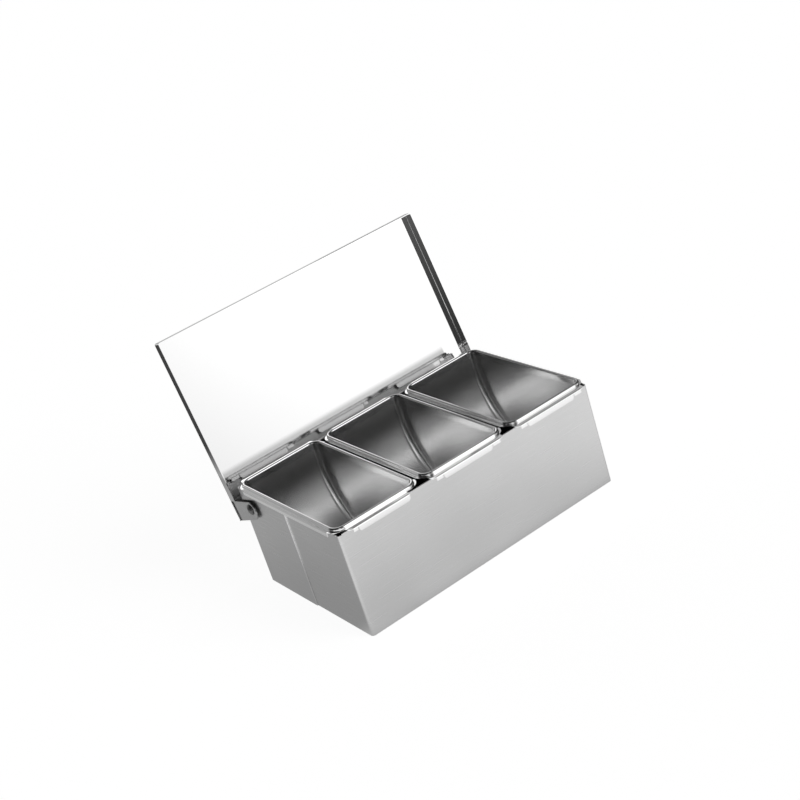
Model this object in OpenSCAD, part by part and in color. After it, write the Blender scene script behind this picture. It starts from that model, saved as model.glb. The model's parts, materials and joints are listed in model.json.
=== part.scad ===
// Sheet steel box with three lift-out pans and a lid that turns on two rivets.
// The long side runs along X, the front faces -Y, and the base stands on Z = 0.

/* [Box] */
// Length of the box over its end walls
box_length = 260; // [240:1:300]
// Depth of the box over its front and back walls
box_depth = 160; // [150:1:180]
// Height of the walls
box_height = 94; // [90:1:110]
// Thickness of the sheet that the box and the lid are folded from
sheet = 0.8; // [0.6:0.1:1]
// Outer radius of the upright bends at the corners
corner_bend = 3; // [2:0.5:5]
// Height of the hem folded in along the top of the walls
hem_height = 6; // [4:1:9]
// Place of the seam on the end walls, behind the middle of the box
seam_place = 3; // [-10:1:12]
// How far the front sheet runs on under the back sheet at each seam
seam_lap = 15; // [8:1:20]
// Height of the upturned edge round the base
base_lip = 8; // [5:1:12]

/* [Pans] */
// Thickness of the sheet that the pans are pressed from
pan_sheet = 0.7; // [0.5:0.1:0.9]
// Space between the rims of two pans that stand side by side
pan_gap = 2; // [1:0.5:4]
// Space between the end wall and the skirt of the pan beside it
skirt_gap = 0.6; // [0.4:0.1:1]
// How far a rim stands out past the front wall and the back wall
rim_overhang = 3.6; // [2.5:0.1:5]
// Width of the rim along the long sides of a pan's mouth
side_rim = 5.2; // [5.1:0.1:6.5]
// Width of the rim along the two ends of a pan's mouth, at the tabs that lie on the walls
end_rim = 9.2; // [8.8:0.1:11]
// Width of the rim at the ends beside the tabs, where it clears the walls
end_collar = 3.4; // [3.3:0.1:4.5]
// Radius of the corners of a pan's mouth and along the edges of its bowl
mouth_corner = 7; // [4:0.5:10]
// Radius of the outer corners of the rim
rim_corner = 10.5; // [8:0.5:12]
// Radius of the outer corners of the tabs
tab_corner = 4; // [2:0.5:6]
// Width of the rolled bead round the mouth
bead_width = 3; // [2.4:0.1:3.2]
// Height of the bead above the flat of the rim
bead_rise = 2.6; // [2:0.1:4]
// Outer radius of the bend between the rim and its skirts
rim_bend = 1.2; // [1:0.1:1.5]
// Drop of the skirts along the long sides of the rim
side_drop = 4.4; // [3:0.1:6]
// Drop of the skirts at the front and the back of the rim
end_drop = 3.4; // [2.5:0.1:4]
// Width of the locating flap where it leaves the skirt
flap_width = 50; // [35:1:55]
// Drop of the locating flap's lower edge below the top of the rim
flap_drop = 5.4; // [4.5:0.1:8]
// Distance of the locating flaps from the middle of the pan, towards its left
flap_shift = 1.9; // [0:0.1:3]
// How far the front tab runs on past the left end of its flap
front_run_left = 11.6; // [8:0.1:12]
// How far the front tab runs on past the right end of its flap
front_run_right = 12.9; // [8:0.1:14]
// How far the rear tab runs on past the right end of its flap
rear_run_right = 9.4; // [8:0.1:14]
// Space between the underside of the bowl and the base
bowl_gap = 1.7; // [1:0.1:4]

/* [Lid] */
// Angle that the open lid leans back from upright
lid_lean = 14; // [0:1:25]
// Reach of the closed lid past the front wall
lid_overhang = 14.5; // [12:0.5:20]
// Length of the lid behind the hinge line
lid_tail = 12.6; // [12.4:0.1:15]
// Depth of the flange round the lid, with its sheet
lid_flange = 10.2; // [6:0.1:12]
// Outer radius of the bends round the lid
lid_bend = 1.4; // [1.1:0.1:2]
// Width of the hem folded in along the rear edge of the lid
lid_hem = 5; // [3:0.5:7]
// Space left between the lid and the pans' rear edges as the lid swings
swing_gap = 4.1; // [2:0.1:6]

/* [Hinge] */
// Distance of the hinge line from the outside of the back wall
pivot_inset = 18.5; // [15:0.5:22]
// Depth of the hinge line below the top of the walls
pivot_drop = 16; // [14:0.5:20]
// Diameter of the rivet's shank
rivet_d = 4; // [3:0.5:5]
// Diameter of the rivet's domed head
head_d = 8.8; // [7.6:0.2:9.2]
// Height of the rivet's domed head
head_rise = 1.6; // [1:0.1:2]
// Diameter of the tail that is upset inside the wall
tail_d = 6.4; // [6:0.2:8]
// Thickness of the tail that is upset inside the wall
tail_rise = 1.1; // [0.6:0.1:1.2]
// Diameter of the washer under the rivet's head
washer_d = 9.8; // [9.4:0.2:11]
// Thickness of the washer
washer_rise = 0.5; // [0.4:0.1:0.8]
// Diameter of the spacer between the wall and the lug
spacer_d = 8; // [7:0.5:10]
// Radius of the lug's round end
lug_radius = 8.2; // [7.6:0.1:9]
// Width of the lug's strip in front of the hinge line
lug_front = 6.8; // [6.5:0.1:7.4]
// Width of the lug's root behind the hinge line
lug_rear = 12; // [11:0.1:12.2]
// Distance of the round end's centre past the hinge line
lug_nose = 1.2; // [0.5:0.1:4]
// Width of the foot that is welded to the lid
foot_width = 8; // [5:0.5:12]

/* [Clearances] */
// Space between a rim and the top of the wall that carries it
seat_gap = 0.3; // [0.1:0.1:0.5]
// Space between the lug's plane and the skirts of the end pans
lug_gap = 0.5; // [0.4:0.1:1]
// Space between the lug and the flange of the lid outside it
flange_gap = 0.6; // [0.3:0.1:1]
// Running space on each side of the lug
face_gap = 0.1; // [0.05:0.05:0.2]
// Radial running space between the rivet and each hole
hole_gap = 0.06; // [0.03:0.01:0.1]
// Gap cut beside a flap or a skirt so that it folds cleanly
relief = 0.8; // [0.4:0.1:1.2]

/* [Hidden] */
$fn = 96;
overrun = 1;
pan_count = 3;

// Walls
half_length = box_length / 2;
half_depth = box_depth / 2;
inner_half = half_length - sheet;
lap_end = seam_place + seam_lap;
hem_base = box_height - sheet;

// Pans
rim_half = half_length + skirt_gap + pan_sheet;
pan_width = (2 * rim_half - (pan_count - 1) * pan_gap) / pan_count;
pan_pitch = pan_width + pan_gap;
pan_depth = box_depth + 2 * rim_overhang;
mouth_width = pan_width - 2 * side_rim;
mouth_depth = pan_depth - 2 * end_rim;
rim_base = box_height + seat_gap;
rim_top = rim_base + pan_sheet;
bead_top = rim_top + bead_rise;
bowl_radius = mouth_depth / 2;
bowl_centre = sheet + bowl_gap + pan_sheet + bowl_radius;
collar_depth = mouth_depth + 2 * end_collar;
side_skirt = collar_depth - 2 * rim_corner - relief;
flap_left = -flap_shift - flap_width / 2;
flap_right = flap_width / 2 - flap_shift;
// A tab stops at its flap where it doesn't run on, and keeps this corner there
tab_stop_corner = relief / 2;
// Distance from the end of a tab to the start of its skirt
skirt_end = tab_corner + relief / 2;
// The flap narrows towards its edge
flap_edge_share = 0.94;

// Hinge, from the wall outwards
pivot_y = half_depth - pivot_inset;
pivot_z = box_height - pivot_drop;
lug_inner = rim_half + lug_gap;
lug_outer = lug_inner + sheet;
spacer_end = lug_inner - face_gap;
washer_start = lug_outer + face_gap;
head_start = washer_start + washer_rise;
shank_r = rivet_d / 2;
hole_r = shank_r + hole_gap;

// Lid, measured from the hinge line with the lid level
rear_corner_out = rim_overhang + pivot_inset;
rear_corner_up = pivot_drop + seat_gap + pan_sheet;
plate_height = sqrt(rear_corner_out * rear_corner_out + rear_corner_up * rear_corner_up) + swing_gap;
lid_top = plate_height + sheet;
lid_half = lug_outer + flange_gap + sheet;
lid_reach = box_depth - pivot_inset + lid_overhang;
foot_inner = lug_inner - foot_width;

// Rectangle whose two corners at its low-Y end are round
module bent_outline(half, low, high, bend) {
    translate([-half, low + bend])
        square([2 * half, high - low - bend]);
    translate([bend - half, low])
        square([2 * (half - bend), bend]);
    for (side = [-1, 1])
        translate([side * (half - bend), low + bend])
            circle(r = bend);
}

// Rectangle on the origin with four round corners
module round_outline(width, depth, corner) {
    square([width - 2 * corner, depth], center = true);
    square([width, depth - 2 * corner], center = true);
    for (x = [-1, 1], y = [-1, 1])
        translate([x * (width / 2 - corner), y * (depth / 2 - corner)])
            circle(r = corner);
}

// Wall of a folded sheet: one long side and two end flaps with open ends
module folded_wall(half, end) {
    linear_extrude(hem_base)
        difference() {
            bent_outline(half, -half_depth, end, corner_bend);
            bent_outline(half - sheet, sheet - half_depth, end + overrun, corner_bend - sheet);
        }
}

// Closed hem along X, folded towards +Y, with the sheet's outer face on Y = 0
module hem(length, height) {
    rotate([90, 0, 90])
        translate([0, 0, -length / 2])
            linear_extrude(length) {
                intersection() {
                    translate([sheet, 0])
                        circle(r = sheet);
                    square([2 * sheet, sheet]);
                }
                translate([sheet, sheet - height])
                    square([sheet, height - sheet]);
            }
}

// Hems along both end flaps of a folded wall, from one Y to another
module end_hems(half, from, to) {
    for (side = [-1, 1])
        translate([side * half, (from + to) / 2, hem_base])
            rotate([0, 0, side * 90])
                hem(to - from, hem_height);
}

// Front wall and the end flaps that pass under the back sheet
module front_sheet() {
    color("silver") {
        folded_wall(inner_half, lap_end);
        translate([0, -half_depth, hem_base])
            hem(2 * (inner_half - corner_bend - sheet), hem_height);
        end_hems(inner_half, corner_bend + sheet - half_depth, lap_end);
    }
}

// Back wall and the end flaps that lap over the front sheet, drilled for the rivets
module back_sheet() {
    color("silver")
        difference() {
            union() {
                rotate([0, 0, 180])
                    folded_wall(half_length, -seam_place);
                translate([0, half_depth, hem_base])
                    rotate([0, 0, 180])
                        hem(2 * (half_length - corner_bend - sheet), hem_height);
                end_hems(half_length, lap_end + relief, half_depth - corner_bend - sheet);
            }
            for (side = [-1, 1])
                on_hinge_line(side, half_length - sheet - overrun)
                    cylinder(r = hole_r, h = sheet + 2 * overrun);
        }
}

// Floor of the box with its upturned edge, inside the walls
module base_plate() {
    floor_length = 2 * (inner_half - sheet);
    floor_depth = 2 * (half_depth - sheet);
    color("gainsboro") {
        linear_extrude(sheet)
            round_outline(floor_length, floor_depth, corner_bend);
        linear_extrude(base_lip)
            difference() {
                round_outline(floor_length, floor_depth, corner_bend);
                round_outline(floor_length - 2 * sheet, floor_depth - 2 * sheet, corner_bend - sheet);
            }
    }
}

// Puts a child that is drawn along +Z on the hinge line, pointing out to one side
module on_hinge_line(side, start) {
    translate([side * start, pivot_y, pivot_z])
        rotate([0, side * 90, 0])
            children();
}

// Puts a child that is drawn from the hinge line, with the lid level, at the lid's open place
module on_open_lid() {
    translate([0, pivot_y, pivot_z])
        rotate([-90 - lid_lean, 0, 0])
            children();
}

// Block with round bends along its top, except at its rear end, and at its front corners
module bent_block(half, front, rear, bottom, top, bend) {
    run = rear - front;
    intersection() {
        translate([0, 0, bottom])
            linear_extrude(top - bottom)
                bent_outline(half, front, rear, bend);
        translate([0, front, 0])
            rotate([-90, 0, 0])
                linear_extrude(run)
                    bent_outline(half, -top, -bottom, bend);
        translate([half, front + run / 2 + bend, 0])
            rotate([-90, 0, 90])
                linear_extrude(2 * half)
                    bent_outline(run / 2 + bend, -top, -bottom, bend);
    }
}

// Plate of the lid with a flange on three sides and a hem at the rear, open
module lid() {
    plate_rear = lid_tail - sheet;
    flange_edge = lid_top - lid_flange;
    color("gainsboro")
        on_open_lid() {
            difference() {
                bent_block(lid_half, -lid_reach, plate_rear, flange_edge, lid_top, lid_bend);
                bent_block(
                    lid_half - sheet, sheet - lid_reach, lid_tail + overrun,
                    flange_edge - overrun, plate_height, lid_bend - sheet
                );
                translate([-lid_half - overrun, -lug_front - relief, flange_edge - overrun])
                    cube([2 * (lid_half + overrun), lid_reach, plate_height - flange_edge + overrun]);
            }
            translate([0, plate_rear, lid_top])
                rotate([-90, 0, 0])
                    hem(2 * (foot_inner - sheet), lid_hem);
        }
}

// Strip that hangs from the lid round the rivet, with the foot that is welded to the lid
module hinge_lug(side) {
    centre_y = lug_radius - lug_front;
    color("silver")
        on_open_lid()
            mirror([side < 0 ? 1 : 0, 0, 0]) {
                difference() {
                    translate([lug_inner, 0, 0])
                        rotate([90, 0, 90])
                            linear_extrude(sheet) {
                                polygon([
                                    [-lug_front, plate_height],
                                    [lug_rear, plate_height],
                                    [centre_y + lug_radius, -lug_nose],
                                    [-lug_front, -lug_nose]
                                ]);
                                translate([centre_y, -lug_nose])
                                    circle(r = lug_radius);
                            }
                    translate([lug_inner - overrun, 0, 0])
                        rotate([0, 90, 0])
                            cylinder(r = hole_r, h = sheet + 2 * overrun);
                }
                translate([foot_inner, -lug_front, plate_height - sheet])
                    cube([foot_width + sheet, lug_front + lug_rear, sheet]);
            }
}

// Rivet with a domed head outside the lug and an upset tail inside the wall
module hinge_rivet(side) {
    dome_r = (head_d * head_d / 4 + head_rise * head_rise) / (2 * head_rise);
    color("dimgray") {
        on_hinge_line(side, half_length - sheet - tail_rise) {
            cylinder(d = tail_d, h = tail_rise);
            cylinder(r = shank_r, h = head_start - half_length + sheet + tail_rise + head_rise / 2);
        }
        on_hinge_line(side, head_start)
            intersection() {
                cylinder(d = head_d, h = head_rise);
                translate([0, 0, head_rise - dome_r])
                    sphere(r = dome_r);
            }
    }
}

// Flat ring on the rivet, used for the washers and the spacers
module hinge_ring(side, start, end, outer_d) {
    on_hinge_line(side, start)
        difference() {
            cylinder(d = outer_d, h = end - start);
            translate([0, 0, -overrun])
                cylinder(r = hole_r, h = end - start + 2 * overrun);
        }
}

// Solid of the bowl: half a wheel with round shoulders, and straight walls above it
module bowl_form(radius, half, corner, top) {
    translate([0, 0, bowl_centre])
        rotate([0, 90, 0])
            rotate([0, 0, -90])
                rotate_extrude(angle = 180)
                    bowl_profile(radius, half, corner);
    translate([0, 0, bowl_centre])
        linear_extrude(top - bowl_centre)
            round_outline(2 * half, 2 * radius, corner);
}

// Half section of the wheel: the axle is on X = 0 and the shoulders are round
module bowl_profile(radius, half, corner) {
    translate([0, -half])
        square([radius - corner, 2 * half]);
    translate([0, corner - half])
        square([radius, 2 * (half - corner)]);
    for (side = [-1, 1])
        translate([radius - corner, side * (half - corner)])
            circle(r = corner);
}

// Sweeps a section round the mouth, with X measured outwards from the mouth's edge
module round_mouth() {
    run_x = mouth_width / 2 - mouth_corner;
    run_y = mouth_depth / 2 - mouth_corner;
    for (turn = [0, 180])
        rotate([0, 0, turn]) {
            translate([mouth_width / 2, run_y, 0])
                rotate([90, 0, 0])
                    linear_extrude(2 * run_y)
                        children();
            translate([-run_x, mouth_depth / 2, 0])
                rotate([90, 0, 90])
                    linear_extrude(2 * run_x)
                        children();
        }
    for (x = [-1, 1], y = [-1, 1])
        translate([x * run_x, y * run_y, 0])
            rotate([0, 0, x > 0 ? (y > 0 ? 0 : -90) : (y > 0 ? 90 : 180)])
                rotate_extrude(angle = 90)
                    translate([mouth_corner, 0])
                        children();
}

// Section of the bead, or of the hollow under it when inset by the sheet
module bead_section(inset, base) {
    radius = bead_width / 2 - inset;
    translate([bead_width / 2, bead_top - bead_width / 2])
        circle(r = radius);
    translate([inset, base])
        square([2 * radius, bead_top - bead_width / 2 - base]);
}

// Bend from the flat of the rim down into a skirt that faces +Y, centred on X = 0
module rim_skirt(length, drop) {
    leg = 2 * rim_bend;
    translate([length / 2, 0, 0])
        rotate([90, 0, -90])
            linear_extrude(length)
                difference() {
                    skirt_corner(leg, drop, 0);
                    skirt_corner(leg, drop, pan_sheet);
                }
}

// Corner of the skirt's section: X runs inwards from the outer face and Y is height
module skirt_corner(leg, drop, inset) {
    bend = rim_bend - inset;
    spill = inset > 0 ? overrun : 0;
    translate([inset, rim_top - drop - spill])
        square([leg - inset + spill, drop + spill - rim_bend]);
    translate([rim_bend, rim_top - drop - spill])
        square([leg - rim_bend + spill, drop + spill - inset]);
    translate([rim_bend, rim_top - rim_bend])
        circle(r = bend);
}

// Flap that hangs over the wall, on the outer face of a skirt that faces +Y
module locating_flap() {
    half = flap_width / 2;
    edge = half * flap_edge_share;
    rotate([90, 0, 0])
        linear_extrude(pan_sheet)
            polygon([
                [-half, rim_top - rim_bend],
                [half, rim_top - rim_bend],
                [half, rim_top - end_drop],
                [edge, rim_top - flap_drop],
                [-edge, rim_top - flap_drop],
                [-half, rim_top - end_drop]
            ]);
}

// Outline of the tab at the +Y end of the rim, between two places along X
module tab_outline(from, to, from_corner, to_corner) {
    edge = pan_depth / 2;
    translate([from, 0])
        square([to - from, edge - tab_corner]);
    translate([from + from_corner, 0])
        square([to - from - from_corner - to_corner, edge]);
    translate([from + from_corner, edge - from_corner])
        circle(r = from_corner);
    translate([from, 0])
        square([from_corner, edge - from_corner]);
    translate([to - to_corner, edge - to_corner])
        circle(r = to_corner);
    translate([to - to_corner, 0])
        square([to_corner, edge - to_corner]);
}

// Skirt along the edge of the tab at the +Y end, with the flap and the relief cuts beside it
module tab_skirt(from, to, flap_from) {
    skirt_length = to - from;
    translate([0, pan_depth / 2, 0]) {
        difference() {
            translate([(from + to) / 2, 0, 0])
                rim_skirt(skirt_length, end_drop);
            for (place = [flap_from - relief, flap_from + flap_width])
                translate([place, -pan_sheet - overrun, 0])
                    cube([relief, pan_sheet + 2 * overrun, rim_top - rim_bend]);
        }
        translate([flap_from + flap_width / 2, 0, 0])
            locating_flap();
    }
}

// Flat of the rim: a collar with a tab at each end, cut back where a skirt bends down
module rim_flat() {
    strip = 2 * rim_bend;
    difference() {
        union() {
            round_outline(pan_width, collar_depth, rim_corner);
            rotate([0, 0, 180])
                tab_outline(
                    -flap_right - front_run_right, front_run_left - flap_left, tab_corner, tab_corner
                );
            tab_outline(flap_left - relief, flap_right + rear_run_right, tab_stop_corner, tab_corner);
        }
        for (side = [-1, 1])
            translate([side * pan_width / 2, 0])
                square([strip, side_skirt + relief], center = true);
        translate([flap_left - front_run_left + tab_corner, (-pan_depth - strip) / 2])
            square([front_run_left + flap_width + front_run_right - 2 * tab_corner, strip]);
        translate([flap_left - relief + tab_stop_corner, (pan_depth - strip) / 2])
            square([relief + flap_width + rear_run_right - tab_stop_corner - tab_corner, strip]);
    }
}

// Pan with a round-bottomed bowl, a bead round its mouth and a rim that hangs on the walls
module pan(place, turn) {
    color("lightgray")
        translate([place * pan_pitch, 0, 0])
        rotate([0, 0, turn]) {
            difference() {
                union() {
                    bowl_form(
                        bowl_radius + pan_sheet, mouth_width / 2 + pan_sheet,
                        mouth_corner + pan_sheet, rim_top
                    );
                    translate([0, 0, rim_base])
                        linear_extrude(pan_sheet)
                            rim_flat();
                    round_mouth()
                        bead_section(0, rim_base);
                }
                bowl_form(bowl_radius, mouth_width / 2, mouth_corner, bead_top + overrun);
                round_mouth()
                    bead_section(pan_sheet, rim_base - overrun);
            }
            for (side = [-1, 1])
                rotate([0, 0, side * 90])
                    translate([0, pan_width / 2, 0])
                        rim_skirt(side_skirt, side_drop);
            rotate([0, 0, 180])
                tab_skirt(
                    -flap_right - front_run_right + skirt_end, front_run_left - flap_left - skirt_end,
                    -flap_right
                );
            tab_skirt(flap_left, flap_right + rear_run_right - skirt_end, flap_left);
        }
}

module left_hinge_lug() {
    hinge_lug(-1);
}

module right_hinge_lug() {
    hinge_lug(1);
}

module left_rivet() {
    hinge_rivet(-1);
}

module right_rivet() {
    hinge_rivet(1);
}

module left_washer() {
    color("gray")
        hinge_ring(-1, washer_start, head_start, washer_d);
}

module right_washer() {
    color("gray")
        hinge_ring(1, washer_start, head_start, washer_d);
}

module left_spacer() {
    color("gray")
        hinge_ring(-1, half_length, spacer_end, spacer_d);
}

module right_spacer() {
    color("gray")
        hinge_ring(1, half_length, spacer_end, spacer_d);
}

// The left pan stands in the box turned round
module left_pan() {
    pan(-1, 180);
}

module middle_pan() {
    pan(0, 0);
}

module right_pan() {
    pan(1, 0);
}

front_sheet();
back_sheet();
base_plate();
lid();
left_hinge_lug();
right_hinge_lug();
left_rivet();
right_rivet();
left_washer();
right_washer();
left_spacer();
right_spacer();
left_pan();
middle_pan();
right_pan();
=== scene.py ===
import json
import math

import bmesh
import bpy
from mathutils import Matrix, Quaternion, Vector

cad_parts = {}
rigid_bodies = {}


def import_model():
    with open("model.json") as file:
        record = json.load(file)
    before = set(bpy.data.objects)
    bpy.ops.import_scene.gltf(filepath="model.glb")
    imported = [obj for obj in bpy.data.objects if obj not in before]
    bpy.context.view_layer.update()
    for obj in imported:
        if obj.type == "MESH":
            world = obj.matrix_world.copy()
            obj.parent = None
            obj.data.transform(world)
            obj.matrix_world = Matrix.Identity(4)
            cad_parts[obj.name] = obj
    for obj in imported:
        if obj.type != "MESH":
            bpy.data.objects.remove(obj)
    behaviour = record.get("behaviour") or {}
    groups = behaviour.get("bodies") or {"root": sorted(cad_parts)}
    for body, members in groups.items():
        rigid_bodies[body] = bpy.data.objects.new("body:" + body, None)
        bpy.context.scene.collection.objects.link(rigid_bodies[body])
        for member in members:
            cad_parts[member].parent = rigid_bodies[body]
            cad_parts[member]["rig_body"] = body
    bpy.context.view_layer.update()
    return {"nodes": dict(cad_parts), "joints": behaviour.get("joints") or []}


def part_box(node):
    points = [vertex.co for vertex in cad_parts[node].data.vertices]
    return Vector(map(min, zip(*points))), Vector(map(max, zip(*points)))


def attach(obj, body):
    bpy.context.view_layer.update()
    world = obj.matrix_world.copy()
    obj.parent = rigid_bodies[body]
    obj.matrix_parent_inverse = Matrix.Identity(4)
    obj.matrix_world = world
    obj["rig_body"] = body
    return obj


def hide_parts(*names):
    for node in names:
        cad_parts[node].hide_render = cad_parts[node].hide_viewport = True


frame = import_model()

mm = 0.001
hair = 0.01 * mm               # places closer than this are the same
speck = 0.001 * mm
hinge = next(joint for joint in frame["joints"] if joint["name"] == "lid_hinge")
hingePlace = Vector(hinge["pos_m"])


# Camera

view = {
    "place": (-0.573834, -1.079806, 0.672831),
    "aim": (0.082452, 0.153415, 0.05),
    "roll": -17.966,        # degrees; the photograph is tilted
    "focal": 1622.5,        # in pixels of the photograph
    "frameWidth": 800,      # pixels
    "sensor": 36.0,         # millimetres
}


def makeCamera():
    data = bpy.data.cameras.new("camera")
    data.sensor_width = view["sensor"]
    data.lens = view["focal"] * view["sensor"] / view["frameWidth"]
    camera = bpy.data.objects.new("camera", data)
    bpy.context.scene.collection.objects.link(camera)
    place = Vector(view["place"])
    look = (Vector(view["aim"]) - place).to_track_quat("-Z", "Y")
    camera.location = place
    camera.rotation_mode = "QUATERNION"
    camera.rotation_quaternion = look @ Quaternion((0, 0, 1), math.radians(view["roll"]))
    bpy.context.scene.camera = camera


makeCamera()
print("camera set")


# Nodes of a material, in short form

def newMaterial(name):
    material = bpy.data.materials.new(name)
    material.use_nodes = True
    tree = material.node_tree
    tree.nodes.clear()
    return material, tree


def addNode(tree, kind, **values):
    node = tree.nodes.new("ShaderNode" + kind)
    for key, value in values.items():
        if key in node.inputs:
            node.inputs[key].default_value = value
        else:
            setattr(node, key, value)
    return node


def stretchedNoise(tree, scale, detail, roughness=0.5):
    coords = addNode(tree, "TexCoord")
    mapping = addNode(tree, "Mapping")
    mapping.inputs["Scale"].default_value = scale
    noise = addNode(tree, "TexNoise", Scale=1.0, Detail=detail, Roughness=roughness)
    tree.links.new(coords.outputs["Object"], mapping.inputs["Vector"])
    tree.links.new(mapping.outputs["Vector"], noise.inputs["Vector"])
    return noise.outputs["Fac"]


def mapRange(tree, value, fromLow, fromHigh, toLow, toHigh, curve="SMOOTHSTEP"):
    reach = addNode(tree, "MapRange", interpolation_type=curve)
    ends = {"From Min": fromLow, "From Max": fromHigh, "To Min": toLow, "To Max": toHigh}
    for socket, end in ends.items():
        if isinstance(end, float):
            reach.inputs[socket].default_value = end
        else:
            tree.links.new(end, reach.inputs[socket])
    tree.links.new(value, reach.inputs["Value"])
    return reach.outputs["Result"]


# Past its limits, each a direction and two places along it, the steel has another roughness and a painted
# tone: a band of painted light or shade
def blendPaintedBand(tree, paintedBand, color, rough, shader):
    coords = addNode(tree, "TexCoord")
    share = 1.0
    for toward, start, end in paintedBand["limits"]:
        along = addNode(tree, "VectorMath", operation="DOT_PRODUCT")
        along.inputs[1].default_value = toward
        tree.links.new(coords.outputs["Object"], along.inputs[0])
        share = mapRange(tree, along.outputs["Value"], start, end, 0.0, share)
    for kind, value, source, socket in (
        ("RGBA", (paintedBand["tone"],) * 3 + (1,), color, "Base Color"),
        ("FLOAT", paintedBand["roughness"], rough, "Roughness"),
    ):
        mix = addNode(tree, "Mix", data_type=kind)
        ends = [entry for entry in mix.inputs if entry.type == kind.replace("FLOAT", "VALUE")]
        if kind == "FLOAT":
            ends = ends[1:]
        tree.links.new(share, mix.inputs[0])
        tree.links.new(source, ends[0])
        ends[1].default_value = value
        result = next(entry for entry in mix.outputs if entry.enabled)
        tree.links.new(result, shader.inputs[socket])


noiseSpan = (0.3, 0.7)          # nearly all of the noise lies between these
cloudDetail = 2.0
waveDetail = 1.0


# Sheet steel with a brushed grain; the grain runs where the noise is stretched
def makeSteel(name, look):
    material, tree = newMaterial(name)
    shader = addNode(tree, "BsdfPrincipled")
    shader.inputs["Metallic"].default_value = 1.0
    output = addNode(tree, "OutputMaterial")
    tree.links.new(shader.outputs["BSDF"], output.inputs["Surface"])
    grain = stretchedNoise(tree, look["grainScale"], look["grainDetail"])
    clouds = stretchedNoise(tree, look["cloudScale"], cloudDetail)
    tone = addNode(tree, "ValToRGB")
    for stop, place, shade in zip(tone.color_ramp.elements, noiseSpan, look["tones"]):
        stop.position = place
        stop.color = (shade, shade, shade, 1)
    tree.links.new(clouds, tone.inputs["Fac"])
    rough = mapRange(tree, grain, *noiseSpan, *look["roughness"], curve="LINEAR")
    if "paintedBand" in look:
        blendPaintedBand(tree, look["paintedBand"], tone.outputs["Color"], rough, shader)
    else:
        tree.links.new(tone.outputs["Color"], shader.inputs["Base Color"])
        tree.links.new(rough, shader.inputs["Roughness"])
    bump = addNode(tree, "Bump", Strength=look["grainBump"], Distance=look["grainDepth"])
    tree.links.new(grain, bump.inputs["Height"])
    wave = addNode(tree, "Bump", Strength=look["waveBump"], Distance=look["waveDepth"])
    tree.links.new(stretchedNoise(tree, look["waveScale"], waveDetail), wave.inputs["Height"])
    tree.links.new(bump.outputs["Normal"], wave.inputs["Normal"])
    tree.links.new(wave.outputs["Normal"], shader.inputs["Normal"])
    return material


steelLooks = {
    "bodySteel": {
        "tones": (0.66, 0.70), "roughness": (0.26, 0.36),
        "grainScale": (30, 30, 2500), "grainDetail": 3.0, "grainBump": 0.15, "grainDepth": 0.02 * mm,
        "cloudScale": (12, 12, 12), "waveScale": (9, 9, 9), "waveBump": 0.3, "waveDepth": 0.4 * mm,
    },
    "panSteel": {
        "tones": (0.86, 0.89), "roughness": (0.25, 0.255),
        # From 89 mm up the pan's rim is smoother and painted a shade lighter: painted light on the rim
        "paintedBand": {"limits": [((0, 0, 1), 89 * mm, 93 * mm)], "tone": 0.92, "roughness": 0.09},
        "grainScale": (250, 250, 250), "grainDetail": 1.0, "grainBump": 0.01, "grainDepth": 0.003 * mm,
        "cloudScale": (25, 25, 25), "waveScale": (18, 18, 18), "waveBump": 0.1, "waveDepth": 0.3 * mm,
    },
    "lugSteel": {
        "tones": (0.46, 0.51), "roughness": (0.18, 0.26),
        "grainScale": (30, 900, 900), "grainDetail": 3.0, "grainBump": 0.1, "grainDepth": 0.01 * mm,
        "cloudScale": (60, 60, 60), "waveScale": (40, 40, 40), "waveBump": 0.1, "waveDepth": 0.1 * mm,
    },
    "rivetSteel": {
        "tones": (0.20, 0.30), "roughness": (0.25, 0.35),
        "grainScale": (700, 700, 700), "grainDetail": 3.0, "grainBump": 0.2, "grainDepth": 0.02 * mm,
        "cloudScale": (300, 300, 300), "waveScale": (200, 200, 200), "waveBump": 0.2, "waveDepth": 0.05 * mm,
    },
}
# Painted highlight: the back wall's cut front edge is painted bright and glossy where the seam shows it
seamHighlight = {"limits": [((0, 1, 0), 3.5 * mm, 3.3 * mm)], "tone": 0.98, "roughness": 0.1}
steelLooks["backSteel"] = {**steelLooks["bodySteel"], "paintedBand": seamHighlight}
steel = {name: makeSteel(name, look) for name, look in steelLooks.items()}
print("steels mixed")


# Turns a bmesh into a finished piece that stands for its CAD node

finish = {
    "softFrom": 40,            # degrees; edges that bend more are softened
    "softSteps": 2,
    "sharpFrom": 50,           # degrees; edges that bend more are shaded sharp
    "normalWeight": 80,
    "edge": 0.12 * mm,
}


# All faces of the open sheet point the same way as the known face, which looks up
def keepFacing(bm, known, up):
    bm.normal_update()
    bmesh.ops.recalc_face_normals(bm, faces=bm.faces)
    bm.normal_update()
    if known.normal.dot(up) < 0:
        bmesh.ops.reverse_faces(bm, faces=bm.faces)


def applyModifiers(piece):
    bpy.context.view_layer.update()
    graph = bpy.context.evaluated_depsgraph_get()
    mesh = bpy.data.meshes.new_from_object(piece.evaluated_get(graph))
    piece.modifiers.clear()
    piece.data = mesh


def softenEdges(mesh, width, where):
    bm = bmesh.new()
    bm.from_mesh(mesh)
    least = math.radians(finish["softFrom"])
    sharp = [edge for edge in bm.edges if edge.calc_face_angle(0) > least]
    bmesh.ops.bevel(
        bm, geom=edgesWhere(sharp, where), offset=width, offset_type="OFFSET", segments=finish["softSteps"],
        profile=0.5, affect="EDGES", clamp_overlap=True, material=-1,
    )
    bm.to_mesh(mesh)
    bm.free()


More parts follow.
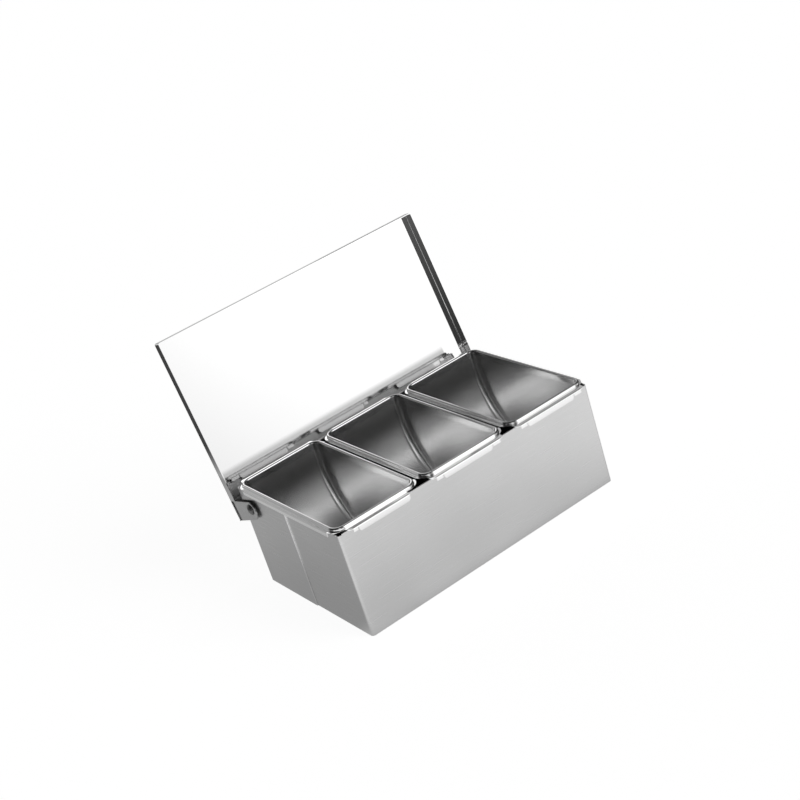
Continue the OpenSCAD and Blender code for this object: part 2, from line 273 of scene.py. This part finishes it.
def finishPiece(
    bm, name, node, material,
    thickness=0.0, edge=finish["edge"], where=lambda at: True, place=None,
):
    mesh = bpy.data.meshes.new(name)
    bm.to_mesh(mesh)
    bm.free()
    piece = bpy.data.objects.new(name, mesh)
    bpy.context.scene.collection.objects.link(piece)
    if thickness:
        wall = piece.modifiers.new("wall", "SOLIDIFY")
        wall.thickness = thickness
        wall.offset = -1.0
        wall.use_even_offset = True
        applyModifiers(piece)
    softenEdges(piece.data, edge, where)
    if place:
        piece.data.transform(place)
    piece.data.shade_smooth()
    piece.data.set_sharp_from_angle(angle=math.radians(finish["sharpFrom"]))
    flat = piece.modifiers.new("flat", "WEIGHTED_NORMAL")
    flat.keep_sharp = True
    flat.weight = finish["normalWeight"]
    applyModifiers(piece)
    piece.data.materials.clear()
    piece.data.materials.append(material)
    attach(piece, frame["nodes"][node]["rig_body"])
    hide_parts(node)


cornerSteps = 10               # of each rounded corner seen from above


# Level ring of edges in the shape of a rounded rectangle
def roundRing(bm, halfX, halfY, corner, height):
    known = set(bm.faces)
    verts = bmesh.ops.create_grid(bm, x_segments=1, y_segments=1, size=1.0)["verts"]
    bmesh.ops.scale(bm, vec=(halfX, halfY, 1), verts=verts)
    bmesh.ops.translate(bm, vec=(0, 0, height), verts=verts)
    bmesh.ops.bevel(
        bm, geom=verts, offset=corner, offset_type="OFFSET", segments=cornerSteps,
        profile=0.5, affect="VERTICES", material=-1,
    )
    face = next(face for face in bm.faces if face not in known)
    edges = list(face.edges)
    bmesh.ops.delete(bm, geom=[face], context="FACES_ONLY")
    return edges


def edgesWhere(edges, test):
    return [edge for edge in edges if test((edge.verts[0].co + edge.verts[1].co) / 2)]


def vertsOf(edges):
    return list({vert for edge in edges for vert in edge.verts})


# Cuts a straight edge at places along X or Y and gives the pieces
def cutEdge(edge, axis, places):
    pieces = []
    for place in sorted(places):
        low, high = sorted(edge.verts, key=lambda vert: vert.co[axis])
        share = (place - low.co[axis]) / (high.co[axis] - low.co[axis])
        newEdge, newVert = bmesh.utils.edge_split(edge, low, share)
        parts = [part for part in newVert.link_edges if part in (edge, newEdge)]
        parts.sort(key=lambda part: sum(vert.co[axis] for vert in part.verts))
        pieces.append(parts[0])
        edge = parts[-1]
    return pieces + [edge]


def pullEdges(bm, edges, move):
    made = bmesh.ops.extrude_edge_only(bm, edges=edges)["geom"]
    verts = [item for item in made if isinstance(item, bmesh.types.BMVert)]
    bmesh.ops.translate(bm, vec=move, verts=verts)
    edges = [item for item in made if isinstance(item, bmesh.types.BMEdge)]
    return [edge for edge in edges if all(vert in verts for vert in edge.verts)]


# An open box of sheet, without the faces whose normals look away, and with rounded folds
def bendSheet(bm, low, high, looksAway, bend, steps):
    bmesh.ops.create_cube(bm, size=1.0)
    bmesh.ops.scale(bm, vec=high - low, verts=bm.verts)
    bmesh.ops.translate(bm, vec=(low + high) / 2, verts=bm.verts)
    away = [face for face in bm.faces if looksAway(face.normal)]
    bmesh.ops.delete(bm, geom=away, context="FACES_ONLY")
    loose = [edge for edge in bm.edges if not edge.link_faces]
    bmesh.ops.delete(bm, geom=loose, context="EDGES")
    folds = [edge for edge in bm.edges if len(edge.link_faces) == 2]
    bmesh.ops.bevel(
        bm, geom=folds, offset=bend, offset_type="OFFSET", segments=steps,
        profile=0.5, affect="EDGES", material=-1,
    )


# Pans

pan = {
    "sheet": 0.7 * mm,
    "sideRim": 5.2 * mm,       # width of the rim beside the mouth
    "endRim": 9.2 * mm,        # width of the rim at the mouth's ends, with the tabs
    "endCollar": 3.4 * mm,     # width of the rim at the mouth's ends beside the tabs
    "mouthCorner": 7.0 * mm,
    "rimCorner": 10.5 * mm,
    "tabCorner": 4.0 * mm,
    "beadWidth": 3.0 * mm,
    "beadRise": 2.6 * mm,
    "beadFoot": 0.3 * mm,      # radius where the bead meets the flat
    "bend": 1.2 * mm,
    "sideDrop": 4.4 * mm,
    "endDrop": 3.4 * mm,
    "flapWidth": 50.0 * mm,
    "flapDrop": 5.4 * mm,
    "flapShift": 1.9 * mm,
    "flapEdgeShare": 0.94,
    "frontRuns": (11.6 * mm, 12.9 * mm),   # how far the tab runs on past its flap, left and right
    "rearRuns": (0.8 * mm, 9.4 * mm),
    "relief": 0.8 * mm,
    "wallInset": 0.6 * mm,     # border of faces round each flat side of the bowl
    "bowlSteps": 56,
    "beadSteps": 8,
    "footSteps": 3,
    "bendSteps": 5,
    "arcStep": 9,              # degrees
}
flapLeft = pan["flapWidth"] / 2 + pan["flapShift"]
flapRight = pan["flapWidth"] / 2 - pan["flapShift"]


# Sizes and places of one pan, from its node
def panSizes(node):
    low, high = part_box(node)
    outerX, outerY = (high.x - low.x) / 2, (high.y - low.y) / 2
    mouthY = outerY - pan["endRim"]
    return {
        "middleX": (low.x + high.x) / 2,
        "outer": (outerX, outerY),
        "mouth": (outerX - pan["sideRim"], mouthY),
        "collarY": mouthY + pan["endCollar"],
        "beadTop": high.z,
        "rimTop": high.z - pan["beadRise"],
        "bowlCentre": low.z + pan["sheet"] + mouthY,
    }


# The mouth and the bead, from the bowl's top outwards; gives the first and the last ring
def makeBead(bm, size):
    mouthX, mouthY = size["mouth"]
    beadTop, rimTop = size["beadTop"], size["rimTop"]
    bead, foot = pan["beadWidth"] / 2, pan["beadFoot"]

    def mouthRing(out, height):
        return roundRing(bm, mouthX + out, mouthY + out, pan["mouthCorner"] + out, height)

    rings = [mouthRing(0, size["bowlCentre"]), mouthRing(0, beadTop - bead)]
    for step in range(1, pan["beadSteps"] + 1):
        angle = math.pi * step / pan["beadSteps"]
        rings.append(mouthRing(bead - bead * math.cos(angle), beadTop - bead + bead * math.sin(angle)))
    rings.append(mouthRing(2 * bead, rimTop + foot))
    for step in range(1, pan["footSteps"] + 1):
        angle = math.pi / 2 * step / pan["footSteps"]
        out = 2 * bead + foot * (1 - math.cos(angle))
        rings.append(mouthRing(out, rimTop + foot * (1 - math.sin(angle))))
    for first, second in zip(rings, rings[1:]):
        bmesh.ops.bridge_loops(bm, edges=first + second)
    return rings[0], rings[-1]


# Draws an outline of straight runs and arcs; an arc is given by its centre and the degrees it turns
def drawOutline(bm, height, moves):
    known = set(bm.edges)
    start = last = bm.verts.new((*moves[0], height))
    for move in moves[1:]:
        if len(move) == 3:
            spun = bmesh.ops.spin(
                bm, geom=[last], cent=(move[0], move[1], height), axis=(0, 0, 1),
                angle=math.radians(move[2]), steps=math.ceil(move[2] / pan["arcStep"]), use_merge=False,
            )
            last = spun["geom_last"][0]
        elif (last.co.xy - Vector(move)).length > hair:
            vert = bm.verts.new((*move, height))
            bm.edges.new((last, vert))
            last = vert
    bm.edges.new((last, start))
    return [edge for edge in bm.edges if edge not in known]


# Right half of the way round one end of the rim, seen with that end at +Y, and then its left half
def endMoves(size, tabLeft, tabRight, corners, cuts):
    (outerX, outerY), collarY = size["outer"], size["collarY"]
    corner, bend, gap = pan["rimCorner"], pan["bend"], pan["relief"] / 2
    straightX, straightY = outerX - corner, collarY - corner
    leftCorner, rightCorner = corners

    def arcPart(tab):
        return math.degrees(math.acos(max(0, tab - straightX) / corner))

    def meet(tab):
        return straightY + math.sqrt(corner ** 2 - max(0, tab - straightX) ** 2)

    moves = [(outerX - bend, straightY - gap), (outerX - bend, straightY), (outerX, straightY)]
    moves += [(straightX, straightY, arcPart(tabRight)), (tabRight, meet(tabRight))]
    moves += [(tabRight, outerY - rightCorner), (tabRight - rightCorner, outerY - rightCorner, 90)]
    moves += [(place, outerY - bend) for place in cuts]
    moves += [(-tabLeft + leftCorner, outerY), (-tabLeft + leftCorner, outerY - leftCorner, 90)]
    moves += [(-tabLeft, meet(tabLeft))]
    if tabLeft < straightX:
        moves += [(-straightX, collarY)]
    moves += [(-straightX, straightY, arcPart(tabLeft))]
    moves += [(-outerX, straightY), (bend - outerX, straightY), (bend - outerX, straightY - gap)]
    return moves


# The flat, whose outline has a tab at each end; gives one of its faces
def makeFlat(bm, size, inner):
    gap = pan["relief"] / 2
    ends = []
    for runs, left, right in (
        (pan["rearRuns"], flapLeft, flapRight), (pan["frontRuns"][::-1], flapRight, flapLeft),
    ):
        tabLeft, tabRight = left + runs[0], right + runs[1]
        corners = [min(pan["tabCorner"], run / 2) for run in runs]
        cuts = [tabRight - corners[1], tabRight - corners[1] - gap, right + 2 * gap, right, -left]
        if runs[0] > 2 * gap:
            cuts += [-left - 2 * gap, -tabLeft + corners[0] + gap]
        cuts += [-tabLeft + corners[0]]
        ends.append(endMoves(size, tabLeft, tabRight, corners, cuts))
    front = [(-move[0], -move[1], *move[2:]) for move in ends[1]]
    outline = drawOutline(bm, size["rimTop"], ends[0] + front)
    filled = bmesh.ops.triangle_fill(bm, use_beauty=True, edges=inner + outline)["geom"]
    return next(item for item in filled if isinstance(item, bmesh.types.BMFace))


# The round bottom: the far half of the lowest ring turns under to the near half
def makeBowl(bm, size, lowest):
    (mouthX, mouthY), centre = size["mouth"], size["bowlCentre"]
    farHalf = edgesWhere(lowest, lambda at: at.y > mouthY - pan["mouthCorner"])
    bmesh.ops.spin(
        bm, geom=farHalf + vertsOf(farHalf), cent=(0, 0, centre), axis=(1, 0, 0),
        angle=-math.pi, steps=pan["bowlSteps"], use_merge=False,
    )
    bmesh.ops.remove_doubles(bm, verts=bm.verts, dist=hair / 2)
    for side in (-1, 1):
        rimOfHole = [
            edge for edge in bm.edges if len(edge.link_faces) == 1
            and all(abs(vert.co.x - side * mouthX) < hair for vert in edge.verts)
            and all(vert.co.z < centre + hair for vert in edge.verts)
        ]
        wall = bmesh.ops.contextual_create(bm, geom=rimOfHole)["faces"]
        bmesh.ops.inset_region(bm, faces=wall, thickness=pan["wallInset"], use_even_offset=True)


# Bends the flat's straight edges down along one side, past the reliefs, and gives the lowest edges
def bendDown(bm, size, axis, side):
    rimTop, bend = size["rimTop"], pan["bend"]
    fold = side * (size["outer"][axis] - bend)
    edges = edgesWhere(bm.edges, lambda at: abs(at[axis] - fold) < hair and abs(at.z - rimTop) < hair)
    edges = [
        edge for edge in edges if len(edge.link_faces) == 1
        and abs(edge.verts[0].co[axis] - edge.verts[1].co[axis]) < hair
        and edge.calc_length() > 0.75 * pan["relief"]
    ]
    centre = Vector((0, 0, rimTop - bend))
    centre[axis] = fold
    spun = bmesh.ops.spin(
        bm, geom=edges + vertsOf(edges), cent=centre, axis=(0, -side, 0) if axis == 0 else (side, 0, 0),
        angle=-math.pi / 2, steps=pan["bendSteps"], use_merge=False,
    )
    return [item for item in spun["geom_last"] if isinstance(item, bmesh.types.BMEdge)]


# Skirts along all four sides, and the flaps that hang from the skirts at the ends
def makeSkirts(bm, size):
    bend = pan["bend"]
    middle = (flapRight - flapLeft) / 2
    for side in (-1, 1):
        pullEdges(bm, bendDown(bm, size, 0, side), (0, 0, bend - pan["sideDrop"]))
        lowest = bendDown(bm, size, 1, side)
        hanging = [edge for edge in lowest if edge.calc_length() > 1.25 * pan["relief"]]
        flap = edgesWhere(hanging, lambda at: -flapLeft < at.x < flapRight)
        pullEdges(bm, [edge for edge in hanging if edge not in flap], (0, 0, bend - pan["endDrop"]))
        flap = pullEdges(bm, flap, (0, 0, bend - pan["endDrop"]))
        flap = pullEdges(bm, flap, (0, 0, pan["endDrop"] - pan["flapDrop"]))
        for vert in vertsOf(flap):
            vert.co.x = middle + (vert.co.x - middle) * pan["flapEdgeShare"]


def makePan(name, node, turned):
    size = panSizes(node)
    bm = bmesh.new()
    lowest, outermost = makeBead(bm, size)
    flatFace = makeFlat(bm, size, outermost)
    makeBowl(bm, size, lowest)
    makeSkirts(bm, size)
    keepFacing(bm, flatFace, Vector((0, 0, 1)))
    if turned:
        bmesh.ops.rotate(bm, cent=(0, 0, 0), matrix=Matrix.Rotation(math.pi, 3, "Z"), verts=bm.verts)
    bmesh.ops.translate(bm, vec=(size["middleX"], 0, 0), verts=bm.verts)
    finishPiece(bm, name, node, steel["panSteel"], thickness=pan["sheet"])


for place, turned in (("left", True), ("middle", False), ("right", False)):
    makePan(place + "PanShell", place + "_pan", turned)
print("pans pressed")


# Walls of the box

box = {
    "sheet": 0.8 * mm,
    "bend": 3.0 * mm,
    "hem": 6.0 * mm,
    "relief": 0.8 * mm,
    "bendSteps": 8,
    "foldSteps": 8,
    "tuck": 0.01 * mm,         # slit inside a closed hem
}


# Folds the sheet over on itself along a straight edge; out is the way the sheet's face looks there
def foldOver(bm, edges, out, drop, top, radius):
    middle = sum((vert.co for vert in vertsOf(edges)), Vector()) / len(vertsOf(edges))
    spun = bmesh.ops.spin(
        bm, geom=edges + vertsOf(edges), cent=middle - out * radius, axis=top.cross(out),
        angle=-math.pi, steps=box["foldSteps"], use_merge=False,
    )
    last = [item for item in spun["geom_last"] if isinstance(item, bmesh.types.BMEdge)]
    pullEdges(bm, last, drop)


frontLow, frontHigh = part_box("front_sheet")
backLow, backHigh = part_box("back_sheet")
hemBase = backHigh.z - box["sheet"]
hemStart = frontLow.y + box["bend"] + box["sheet"]


# A long wall with an end flap at each side, drawn with the long wall at the front
def makeWall(name, node, look, half, front, end, hemEnd, turned):
    sheet, bend = box["sheet"], box["bend"]
    bm = bmesh.new()
    bendSheet(
        bm, Vector((-half, front, 0)), Vector((half, end, hemBase)),
        lambda normal: abs(normal.z) > 0.5 or normal.y > 0.5, bend, box["bendSteps"],
    )
    frontFace = next(face for face in bm.faces if face.calc_center_median().y < front + hair)
    keepFacing(bm, frontFace, Vector((0, -1, 0)))
    topEdges = edgesWhere(bm.edges, lambda at: at.z > hemBase - hair)
    drop, up = (0, 0, sheet - box["hem"]), Vector((0, 0, 1))
    cuts = [hemStart, hemEnd] if hemEnd < end else [hemStart]
    for side in (-1, 1):
        edge = edgesWhere(topEdges, lambda at: at.x * side > half - hair)[0]
        foldOver(bm, cutEdge(edge, 1, cuts)[1:2], Vector((side, 0, 0)), drop, up, sheet)
    edge = edgesWhere(topEdges, lambda at: at.y < front + hair)[0]
    run = half - bend - sheet
    foldOver(bm, cutEdge(edge, 0, [-run, run])[1:2], Vector((0, -1, 0)), drop, up, sheet)
    keepFacing(bm, frontFace, Vector((0, -1, 0)))
    finishPiece(
        bm, name, node, steel[look], thickness=sheet - box["tuck"],
        where=lambda at: at.z < hemBase - box["hem"],
        place=Matrix.Rotation(math.pi, 4, "Z") if turned else None,
    )


makeWall(
    "frontWall", "front_sheet", "bodySteel", frontHigh.x, frontLow.y, frontHigh.y,
    frontHigh.y, False,
)
makeWall(
    "backWall", "back_sheet", "backSteel", backHigh.x, -backHigh.y, -backLow.y,
    -frontHigh.y - box["relief"], True,
)

base = {
    "bend": 3.0 * mm,
}


def makeBase():
    low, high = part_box("base_plate")
    bm = bmesh.new()
    ring = roundRing(bm, high.x, high.y, base["bend"], low.z)
    floor = bmesh.ops.contextual_create(bm, geom=ring)["faces"][0]
    pullEdges(bm, ring, (0, 0, high.z - low.z))
    keepFacing(bm, floor, Vector((0, 0, -1)))
    finishPiece(bm, "baseTray", "base_plate", steel["bodySteel"], thickness=box["sheet"])


makeBase()
print("box folded")


# Lid, drawn level from the hinge line and then opened

lid = {
    "lean": 14.0,              # degrees back from upright
    "flange": 10.2 * mm,
    "bend": 1.4 * mm,
    "bendSteps": 6,
    "hem": 5.0 * mm,
    "tail": 12.6 * mm,
    "reach": 156.0 * mm,
    "plateHeight": 31.98 * mm,
    "flangeEnd": -7.6 * mm,    # where the side flanges stop, before the lugs
    "hemHalf": 123.0 * mm,
}
openLid = Matrix.Translation(hingePlace) @ Matrix.Rotation(math.radians(-90 - lid["lean"]), 4, "X")
plateOut = openLid.to_3x3() @ Vector((0, 0, 1))
innerFace = hingePlace.dot(plateOut) + lid["plateHeight"]

# A mirror, but for a painted reflection: a strip along the base of the inner face painted darker, and a
# little rougher
lidLook = {
    "tones": (0.96, 0.97), "roughness": (0.03, 0.05),
    "grainScale": (600, 600, 600), "grainDetail": 2.0, "grainBump": 0.02, "grainDepth": 0.004 * mm,
    "cloudScale": (8, 8, 8), "waveScale": (6, 6, 6), "waveBump": 0.1, "waveDepth": 0.2 * mm,
    "paintedBand": {
        "limits": [
            ((0, 0, 1), 104 * mm, 98 * mm),
            ((1, 0, 0), 113 * mm, 111 * mm),
            (plateOut, innerFace + 0.3 * mm, innerFace + 0.2 * mm),
        ],
        "tone": 0.58, "roughness": 0.1,
    },
}
steel["lidSteel"] = makeSteel("lidSteel", lidLook)


def makeLid():
    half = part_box("lid")[1].x
    sheet = box["sheet"]
    top = lid["plateHeight"] + sheet
    rear = lid["tail"] - sheet
    bm = bmesh.new()
    bendSheet(
        bm, Vector((-half, -lid["reach"], top - lid["flange"])), Vector((half, rear, top)),
        lambda normal: normal.z < -0.5 or normal.y > 0.5, lid["bend"], lid["bendSteps"],
    )
    bmesh.ops.bisect_plane(
        bm, geom=bm.verts[:] + bm.edges[:] + bm.faces[:], dist=speck,
        plane_co=(0, lid["flangeEnd"], 0), plane_no=(0, 1, 0),
    )
    # The flanges stop before the lugs, and only the plate goes on
    rearPart = [face for face in bm.faces if face.calc_center_median().y > lid["flangeEnd"]]
    rims = {item for face in rearPart for item in (*face.verts, *face.edges)}
    bmesh.ops.bisect_plane(
        bm, geom=rearPart + list(rims), dist=speck,
        plane_co=(0, 0, lid["plateHeight"]), plane_no=(0, 0, 1),
    )
    rearPart = [face for face in bm.faces if face.calc_center_median().y > lid["flangeEnd"]]
    away = [face for face in rearPart if face.calc_center_median().z < lid["plateHeight"]]
    bmesh.ops.delete(bm, geom=away, context="FACES")
    plate = max(bm.faces, key=lambda face: face.calc_area())
    keepFacing(bm, plate, Vector((0, 0, 1)))
    edge = edgesWhere(bm.edges, lambda at: at.y > rear - hair and at.z > top - hair)[0]
    part = cutEdge(edge, 0, [-lid["hemHalf"], lid["hemHalf"]])[1:2]
    foldOver(bm, part, Vector((0, 0, 1)), (0, sheet - lid["hem"], 0), Vector((0, 1, 0)), sheet)
    keepFacing(bm, plate, Vector((0, 0, 1)))
    finishPiece(
        bm, "lidPlate", "lid", steel["lidSteel"], thickness=sheet - box["tuck"],
        where=lambda at: at.y < rear - lid["hem"], place=openLid,
    )


makeLid()

lug = {
    "front": 6.8 * mm,
    "rear": 12.0 * mm,
    "radius": 8.2 * mm,
    "nose": 1.2 * mm,
    "foot": 8.0 * mm,
    "bend": 0.8 * mm,
    "bendSteps": 4,
    "roundSteps": 28,
}


def makeLug(name, node, side):
    outer = abs(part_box(node)[0].x if side < 0 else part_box(node)[1].x)
    height = lid["plateHeight"]
    bm = bmesh.new()
    start = bm.verts.new((outer, -lug["front"], -lug["nose"]))
    spun = bmesh.ops.spin(
        bm, geom=[start], cent=(outer, lug["radius"] - lug["front"], -lug["nose"]), axis=(1, 0, 0),
        angle=math.pi, steps=lug["roundSteps"], use_merge=False,
    )
    last = spun["geom_last"][0]
    topRear = bm.verts.new((outer, lug["rear"], height))
    topFront = bm.verts.new((outer, -lug["front"], height))
    bm.edges.new((last, topRear))
    bm.edges.new((topFront, start))
    topEdge = bm.edges.new((topRear, topFront))
    strip = bmesh.ops.contextual_create(bm, geom=bm.edges[:])["faces"][0]
    pullEdges(bm, [topEdge], (-lug["foot"] - box["sheet"], 0, 0))
    keepFacing(bm, strip, Vector((1, 0, 0)))
    bmesh.ops.bevel(
        bm, geom=[topEdge], offset=lug["bend"], offset_type="OFFSET", segments=lug["bendSteps"],
        profile=0.5, affect="EDGES", material=-1,
    )
    if side < 0:
        bmesh.ops.scale(bm, vec=(-1, 1, 1), verts=bm.verts)
        bmesh.ops.reverse_faces(bm, faces=bm.faces)
    finishPiece(
        bm, name, node, steel["lugSteel"], thickness=box["sheet"], place=openLid,
    )


makeLug("leftLugStrip", "left_hinge_lug", -1)
makeLug("rightLugStrip", "right_hinge_lug", 1)

rivet = {
    "shank": 2.0 * mm,         # radii from here on
    "tail": 3.2 * mm,
    "tailRise": 1.1 * mm,
    "head": 4.4 * mm,
    "headRise": 1.6 * mm,
    "hole": 2.06 * mm,
    "softEdge": 0.2 * mm,
    "ringEdge": 0.1 * mm,
    "domeSteps": 12,
    "turnSteps": 48,
}


# Spins a section, given as distances from the box's middle and radii, about the hinge line
def makeTurned(name, node, side, section, closed, edge):
    bm = bmesh.new()
    verts = [bm.verts.new((side * out, hingePlace.y, hingePlace.z + radius)) for out, radius in section]
    ends = verts[1:] + verts[:1] if closed else verts[1:]
    edges = [bm.edges.new(pair) for pair in zip(verts, ends)]
    bmesh.ops.spin(
        bm, geom=verts + edges, cent=hingePlace, axis=(1, 0, 0), angle=2 * math.pi,
        steps=rivet["turnSteps"], use_merge=True,
    )
    bmesh.ops.remove_doubles(bm, verts=bm.verts, dist=speck)
    bmesh.ops.recalc_face_normals(bm, faces=bm.faces)
    finishPiece(bm, name, node, steel["rivetSteel"], edge=edge)


def makeRivet(name, node, side):
    low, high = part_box(node)
    start, end = sorted((abs(low.x), abs(high.x)))
    headStart = end - rivet["headRise"]
    domeRadius = (rivet["head"] ** 2 + rivet["headRise"] ** 2) / (2 * rivet["headRise"])
    reach = math.asin(rivet["head"] / domeRadius)
    section = [(start, 0), (start, rivet["tail"]), (start + rivet["tailRise"], rivet["tail"])]
    section += [(start + rivet["tailRise"], rivet["shank"]), (headStart, rivet["shank"])]
    for step in range(rivet["domeSteps"] + 1):
        angle = reach * (1 - step / rivet["domeSteps"])
        section.append((end - domeRadius + domeRadius * math.cos(angle), domeRadius * math.sin(angle)))
    makeTurned(name, node, side, section, False, rivet["softEdge"])


def makeRing(name, node, side):
    low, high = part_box(node)
    start, end = sorted((abs(low.x), abs(high.x)))
    radius = (high.y - low.y) / 2
    section = [(start, rivet["hole"]), (end, rivet["hole"]), (end, radius), (start, radius)]
    makeTurned(name, node, side, section, True, rivet["ringEdge"])


for word, side in (("left", -1), ("right", 1)):
    makeRivet(word + "RivetBody", word + "_rivet", side)
    makeRing(word + "WasherRing", word + "_washer", side)
    makeRing(word + "SpacerRing", word + "_spacer", side)
print("hinge and lid made")


# Stage

stage = {
    "floorSize": 40.0,
    "floorColor": 0.8,
    "whiteStrength": 0.93,     # white that the camera sees on the floor, besides its paint
    "paintDimming": 0.5,       # how much of the paint the camera doesn't see
    "glowShare": 1.0,          # how much of the floor's glow metal sees
    "frontGlow": 1.0,
    "backGlow": 0.50,
    "farGlow": 0.5,
    "glowFrom": 0.05,          # metres from the middle of the box, towards the front
    "glowTo": 0.10,
    "backDark": 0.05,          # glow of the floor at the back, farther off
    "darkFrom": 0.32,
    "darkTo": 0.46,
    "nearShade": 0.76,         # how much of the glow is left beside the box, as a painted shadow
    "nearFrom": 0.13,
    "nearTo": 0.30,
    "farFrom": 0.9,            # metres from the middle of the box
    "farTo": 1.8,
    "horizon": 1.0,
    "haze": 0.02,              # how much of the white horizon metal sees
}


# Tells the rays of the camera, and those that pass through glass, from all others
def sightRays(tree, rays):
    sight = addNode(tree, "Math", operation="MAXIMUM")
    tree.links.new(rays.outputs["Is Camera Ray"], sight.inputs[0])
    tree.links.new(rays.outputs["Is Transmission Ray"], sight.inputs[1])
    return sight.outputs["Value"]


def times(tree, value, factor):
    product = addNode(tree, "Math", operation="MULTIPLY")
    product.inputs[1].default_value = factor
    tree.links.new(value, product.inputs[0])
    return product.outputs["Value"]


def makeFloor():
    material, tree = newMaterial("floorPaint")
    output = addNode(tree, "OutputMaterial")
    rays = addNode(tree, "LightPath")
    sight = sightRays(tree, rays)
    paint = addNode(tree, "BsdfDiffuse")
    paint.inputs["Color"].default_value = (stage["floorColor"],) * 3 + (1,)
    dimmed = addNode(tree, "MixShader")
    tree.links.new(times(tree, sight, stage["paintDimming"]), dimmed.inputs["Fac"])
    tree.links.new(paint.outputs["BSDF"], dimmed.inputs[1])
    white = addNode(tree, "Emission")
    tree.links.new(times(tree, sight, stage["whiteStrength"]), white.inputs["Strength"])
    seen = addNode(tree, "AddShader")
    tree.links.new(dimmed.outputs["Shader"], seen.inputs[0])
    tree.links.new(white.outputs["Emission"], seen.inputs[1])
    # The glow that metal sees on the floor is painted light and shade: bright in front, dim behind, with a
    # painted shadow beside the box
    coords = addNode(tree, "TexCoord")
    along = addNode(tree, "VectorMath", operation="DOT_PRODUCT")
    along.inputs[1].default_value = (0, -1, 0)
    away = addNode(tree, "VectorMath", operation="LENGTH")
    for node in (along, away):
        tree.links.new(coords.outputs["Object"], node.inputs[0])
    back = mapRange(
        tree, away.outputs["Value"], stage["darkFrom"], stage["darkTo"], stage["backGlow"], stage["backDark"],
    )
    bare = mapRange(
        tree, along.outputs["Value"], stage["glowFrom"], stage["glowTo"], back, stage["frontGlow"],
    )
    shaded = times(tree, bare, stage["nearShade"])
    near = mapRange(tree, away.outputs["Value"], stage["nearFrom"], stage["nearTo"], shaded, bare)
    glowAt = mapRange(tree, away.outputs["Value"], stage["farFrom"], stage["farTo"], near, stage["farGlow"])
    glow = addNode(tree, "Emission")
    tree.links.new(glowAt, glow.inputs["Strength"])
    mix = addNode(tree, "MixShader")
    tree.links.new(times(tree, rays.outputs["Is Glossy Ray"], stage["glowShare"]), mix.inputs["Fac"])
    tree.links.new(seen.outputs["Shader"], mix.inputs[1])
    tree.links.new(glow.outputs["Emission"], mix.inputs[2])
    tree.links.new(mix.outputs["Shader"], output.inputs["Surface"])
    bm = bmesh.new()
    bmesh.ops.create_grid(bm, x_segments=1, y_segments=1, size=stage["floorSize"] / 2)
    mesh = bpy.data.meshes.new("floor")
    bm.to_mesh(mesh)
    bm.free()
    floor = bpy.data.objects.new("floor", mesh)
    bpy.context.scene.collection.objects.link(floor)
    mesh.materials.append(material)


# Soft patches of sky: azimuth from +X and height in degrees, narrowness and strength
sky = [
    (-64, 3, 20.0, 0.99),
    (110, 4, 20.0, 0.80),
    (-120, 24, 60.0, 1.20),
    (-125, 44, 20.0, 0.15),
    (-64, 24, 40.0, 1.40),
    (64, 25, 20.0, 0.50),
    (100, 25, 20.0, 0.30),
    (-30, 36, 30.0, 0.40),
    (-60, 46, 40.0, 1.50),
]


def makeWorld():
    world = bpy.data.worlds.new("studio")
    bpy.context.scene.world = world
    world.use_nodes = True
    tree = world.node_tree
    tree.nodes.clear()
    coords = addNode(tree, "TexCoord")
    total = None
    for azimuth, height, narrowness, strength in sky:
        turn, rise = math.radians(azimuth), math.radians(height)
        toward = (math.cos(turn) * math.cos(rise), math.sin(turn) * math.cos(rise), math.sin(rise))
        facing = addNode(tree, "VectorMath", operation="DOT_PRODUCT")
        facing.inputs[1].default_value = toward
        tree.links.new(coords.outputs["Generated"], facing.inputs[0])
        fall = addNode(tree, "Math", operation="MULTIPLY_ADD")
        fall.inputs[1].default_value = narrowness
        fall.inputs[2].default_value = -narrowness
        tree.links.new(facing.outputs["Value"], fall.inputs[0])
        patch = addNode(tree, "Math", operation="EXPONENT")
        tree.links.new(fall.outputs["Value"], patch.inputs[0])
        add = addNode(tree, "Math", operation="MULTIPLY_ADD")
        add.inputs[1].default_value = strength
        tree.links.new(patch.outputs["Value"], add.inputs[0])
        if total:
            tree.links.new(total, add.inputs[2])
        else:
            add.inputs[2].default_value = 0
        total = add.outputs["Value"]
    light = addNode(tree, "Background")
    tree.links.new(total, light.inputs["Strength"])
    white = addNode(tree, "Background", Strength=stage["horizon"])
    for node in (light, white):
        node.inputs["Color"].default_value = (1, 1, 1, 1)
    rays = addNode(tree, "LightPath")
    whiteShare = addNode(tree, "Math", operation="ADD")
    tree.links.new(sightRays(tree, rays), whiteShare.inputs[0])
    tree.links.new(times(tree, rays.outputs["Is Glossy Ray"], stage["haze"]), whiteShare.inputs[1])
    mix = addNode(tree, "MixShader")
    output = addNode(tree, "OutputWorld")
    tree.links.new(whiteShare.outputs["Value"], mix.inputs["Fac"])
    tree.links.new(light.outputs["Background"], mix.inputs[1])
    tree.links.new(white.outputs["Background"], mix.inputs[2])
    tree.links.new(mix.outputs["Shader"], output.inputs["Surface"])


makeFloor()
makeWorld()
bpy.context.scene.view_settings.view_transform = "Standard"
print("stage set")
